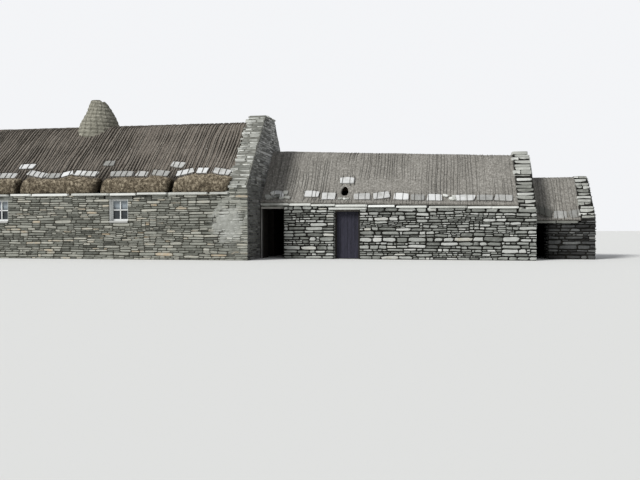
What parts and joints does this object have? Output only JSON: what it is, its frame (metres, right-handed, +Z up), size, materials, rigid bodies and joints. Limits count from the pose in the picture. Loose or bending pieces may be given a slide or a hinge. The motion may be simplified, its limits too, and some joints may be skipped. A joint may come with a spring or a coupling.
{
  "type": "croft house",
  "caption": "Thatched stone longhouse with a dwelling, a byre with a swinging plank door and a small store in one row, and a straw chimney on the ridge.",
  "frame": {"origin": "on level ground, in the middle of the row's length and depth", "axes": "+X along the front from the house to the store, +Y from the front to the back, +Z up"},
  "size_m": [24.56, 6.08, 5.945],
  "materials": {
    "rubble_stone": "matte",
    "flagstone": "matte",
    "weight_stone": "matte",
    "thatch": "matte",
    "straw_bolster": "matte",
    "straw_chimney": "matte",
    "roof_timber": "matte",
    "frame_timber": "matte",
    "door_boards": "matte",
    "window_paint": "satin",
    "window_glass": "gloss",
    "iron": "matte"
  },
  "bodies": {
    "building": {"byre_back_wall": "rubble_stone", "byre_collars": "roof_timber", "byre_couples": "roof_timber", "byre_front_wall_between_doors": "rubble_stone", "byre_front_wall_over_door": "rubble_stone", "byre_front_wall_right": "rubble_stone", "byre_gable": "rubble_stone", "byre_purlins": "roof_timber", "byre_thatch_back": "thatch", "byre_thatch_front": "thatch", "byre_wall_head_flags": "flagstone", "byre_weight_stones": "weight_stone", "door_heads": "frame_timber", "door_lintels": "flagstone", "door_pintles": "iron", "door_posts": "frame_timber", "house_back_wall": "rubble_stone", "house_chimney": "straw_chimney", "house_collars": "roof_timber", "house_couples": "roof_timber", "house_eaves_bolsters": "straw_bolster", "house_front_wall": "rubble_stone", "house_left_gable": "rubble_stone", "house_purlins": "roof_timber", "house_right_gable": "rubble_stone", "house_thatch_back": "thatch", "house_thatch_front": "thatch", "house_wall_head_flags": "flagstone", "house_weight_stones": "weight_stone", "store_back_wall": "rubble_stone", "store_couples": "roof_timber", "store_front_wall": "rubble_stone", "store_gable": "rubble_stone", "store_purlins": "roof_timber", "store_thatch_back": "thatch", "store_thatch_front": "thatch", "store_wall_head_flags": "flagstone", "store_weight_stones": "weight_stone", "window_frames": "window_paint", "window_glass": "window_glass", "window_lintels": "flagstone", "window_sills": "flagstone"},
    "door_leaf": {"byre_door": "door_boards", "door_straps": "iron"}
  },
  "joints": [
    {"name": "byre_door_swing", "type": "hinge", "parent": "building", "child": "door_leaf", "pos_m": [3.733, -1.142, 0.33], "axis": [0, 0, 1], "range_deg": [0, 90]}
  ]
}
